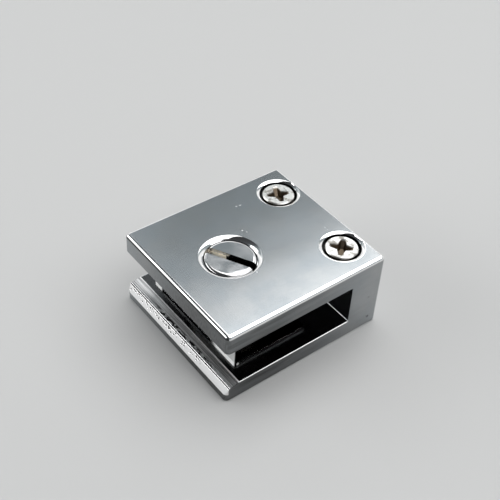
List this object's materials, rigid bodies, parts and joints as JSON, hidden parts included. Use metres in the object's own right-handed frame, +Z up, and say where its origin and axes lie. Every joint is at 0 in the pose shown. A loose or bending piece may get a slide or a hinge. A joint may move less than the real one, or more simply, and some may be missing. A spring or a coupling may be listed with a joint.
{
  "type": "glass support bracket",
  "caption": "Cast C-shaped glass support bracket with a slotted clamp screw and swivelling pressure disc in its top arm, a lined slot and a thick heel with counterbored fixing screws.",
  "frame": {"origin": "middle of the flat base, on the surface it stands on", "axes": "+X across the width, +Y from the open mouth of the slot to the closed heel, +Z up, from the base to the face with the screws"},
  "size_m": [0.036, 0.04, 0.0183],
  "materials": {
    "plated_casting": "satin-polished chrome plate on die-cast zinc",
    "plated_screw": "bright chrome plate on turned steel",
    "white_nylon": "moulded white nylon",
    "clear_plastic": "clear soft plastic sheet, slightly milky",
    "nickel_screw": "bright nickel plate on cold-headed steel, slightly warm"
  },
  "bodies": {
    "bracket": {"bracket_body": "plated_casting", "slot_liner": "clear_plastic", "fixing_screws": "nickel_screw"},
    "pressure_foot": {"pressure_disc": "white_nylon"},
    "clamp_spindle": {"clamp_screw": "plated_screw"}
  },
  "joints": [
    {"name": "disc_travel", "type": "slide", "parent": "bracket", "child": "pressure_foot", "axis": [0, 0, -1], "range_m": [0, 0.002]},
    {"name": "screw_turn", "type": "hinge", "parent": "pressure_foot", "child": "clamp_spindle", "pos_m": [0, -0.0062, 0.0158], "axis": [0, 0, -1], "range_deg": [0, 720]}
  ],
  "couplings": [
    {"joint": "screw_turn", "follows": "disc_travel", "rad_per_m": 6283.2}
  ]
}
